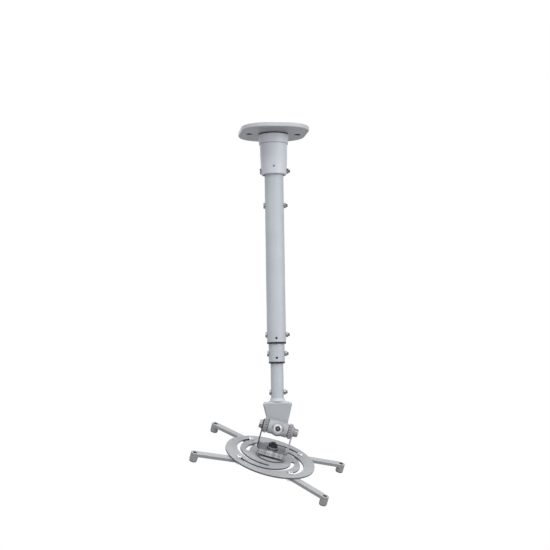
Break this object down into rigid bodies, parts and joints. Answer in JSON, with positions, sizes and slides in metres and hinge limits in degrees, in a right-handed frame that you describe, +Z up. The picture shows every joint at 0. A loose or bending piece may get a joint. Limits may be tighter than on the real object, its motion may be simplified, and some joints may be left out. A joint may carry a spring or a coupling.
{
  "type": "projector ceiling mount",
  "caption": "Ceiling mount for a projector: rounded plate, collar, telescoping pole, tilting knuckle and a round disc with curved slots that carries adjustable arms.",
  "frame": {"origin": "centre of the plate's ceiling face, midway between the two ceiling screw holes", "axes": "+Z up through the ceiling, along the pole; +X to the right as seen in the picture; +Y away from the viewer"},
  "size_m": [0.3044, 0.2146, 0.7378],
  "materials": {
    "powder_coat": "satin",
    "zinc_steel": "bright zinc",
    "dark_steel": "dark zinc",
    "black_nylon": "matte"
  },
  "bodies": {
    "ceiling_mast": {"ceiling_plate": "powder_coat", "collar": "powder_coat", "collar_screws": "zinc_steel", "collar_bolt": "dark_steel", "collar_nut": "zinc_steel", "outer_tube": "powder_coat", "outer_bush": "black_nylon", "stop_bolt": "dark_steel", "stop_nut": "zinc_steel", "outer_clamps": "dark_steel", "outer_clamp_nut": "zinc_steel"},
    "middle_mast": {"middle_tube": "powder_coat", "middle_guide": "black_nylon", "middle_bush": "black_nylon", "middle_clamps": "dark_steel", "middle_clamp_nut": "zinc_steel"},
    "lower_mast": {"inner_tube": "powder_coat", "inner_guide": "black_nylon", "neck_plug": "powder_coat", "neck_bolt": "dark_steel", "neck_nut": "zinc_steel", "knuckle_bracket": "powder_coat", "pivot_screw": "zinc_steel", "pivot_washer": "zinc_steel", "pivot_spacer": "zinc_steel", "pivot_nut": "zinc_steel"},
    "barrel": {"pivot_barrel": "powder_coat", "pitch_bolt_left": "zinc_steel", "pitch_bolt_right": "zinc_steel", "pitch_washers": "zinc_steel"},
    "bracket": {"u_bracket": "powder_coat", "hub_spacer": "powder_coat", "swivel_bolt": "zinc_steel", "swivel_washer": "zinc_steel", "swivel_nut": "dark_steel"},
    "spider": {"hub_plate": "powder_coat", "spider_disc": "powder_coat"},
    "slot_screw_1": {"arm_screw_1": "zinc_steel", "arm_nut_1": "zinc_steel"},
    "arm_1": {"arm_1": "powder_coat", "foot_bush_1": "black_nylon"},
    "slot_screw_2": {"arm_screw_2": "zinc_steel", "arm_nut_2": "zinc_steel"},
    "arm_2": {"arm_2": "powder_coat", "foot_bush_2": "black_nylon"},
    "slot_screw_3": {"arm_screw_3": "zinc_steel", "arm_nut_3": "zinc_steel"},
    "arm_3": {"arm_3": "powder_coat", "foot_bush_3": "black_nylon"},
    "slot_screw_4": {"arm_screw_4": "zinc_steel", "arm_nut_4": "zinc_steel"},
    "arm_4": {"arm_4": "powder_coat", "foot_bush_4": "black_nylon"}
  },
  "joints": [
    {"name": "middle_slide", "type": "slide", "parent": "ceiling_mast", "child": "middle_mast", "axis": [0, 0, 1], "range_m": [-0.15, 0.012]},
    {"name": "lower_slide", "type": "slide", "parent": "middle_mast", "child": "lower_mast", "axis": [0, 0, 1], "range_m": [-0.15, 0.045]},
    {"name": "roll", "type": "hinge", "parent": "lower_mast", "child": "barrel", "pos_m": [0, -0.0305, -0.5954], "axis": [0, 1, 0], "range_deg": [-46, 14]},
    {"name": "pitch", "type": "hinge", "parent": "barrel", "child": "bracket", "pos_m": [0, -0.0305, -0.5954], "axis": [0.9613, 0, -0.2756], "range_deg": [-63, 26]},
    {"name": "swivel", "type": "hinge", "parent": "bracket", "child": "spider", "pos_m": [-0.01581, -0.0113, -0.65055], "axis": [0.2614, -0.3173, 0.9116], "continuous": true},
    {"name": "slot_travel_1", "type": "hinge", "parent": "spider", "child": "slot_screw_1", "pos_m": [-0.00353, -0.00478, -0.65509], "axis": [0.2614, -0.3173, 0.9116], "range_deg": [0, 40]},
    {"name": "arm_swing_1", "type": "hinge", "parent": "slot_screw_1", "child": "arm_1", "pos_m": [0.04263, 0.03227, -0.65543], "axis": [0.2614, -0.3173, 0.9116], "range_deg": [-45, 45]},
    {"name": "slot_travel_2", "type": "hinge", "parent": "spider", "child": "slot_screw_2", "pos_m": [-0.0211, 0.00204, -0.64768], "axis": [0.2614, -0.3173, 0.9116], "range_deg": [0, 40]},
    {"name": "arm_swing_2", "type": "hinge", "parent": "slot_screw_2", "child": "arm_2", "pos_m": [-0.05477, 0.0442, -0.62335], "axis": [0.2614, -0.3173, 0.9116], "range_deg": [-45, 45]},
    {"name": "slot_travel_3", "type": "hinge", "parent": "spider", "child": "slot_screw_3", "pos_m": [-0.02967, -0.01592, -0.65148], "axis": [0.2614, -0.3173, 0.9116], "range_deg": [0, 40]},
    {"name": "arm_swing_3", "type": "hinge", "parent": "slot_screw_3", "child": "arm_3", "pos_m": [-0.07583, -0.05297, -0.65114], "axis": [0.2614, -0.3173, 0.9116], "range_deg": [-45, 45]},
    {"name": "slot_travel_4", "type": "hinge", "parent": "spider", "child": "slot_screw_4", "pos_m": [-0.0121, -0.02274, -0.65889], "axis": [0.2614, -0.3173, 0.9116], "range_deg": [0, 40]},
    {"name": "arm_swing_4", "type": "hinge", "parent": "slot_screw_4", "child": "arm_4", "pos_m": [0.02157, -0.0649, -0.68322], "axis": [0.2614, -0.3173, 0.9116], "range_deg": [-45, 45]}
  ]
}
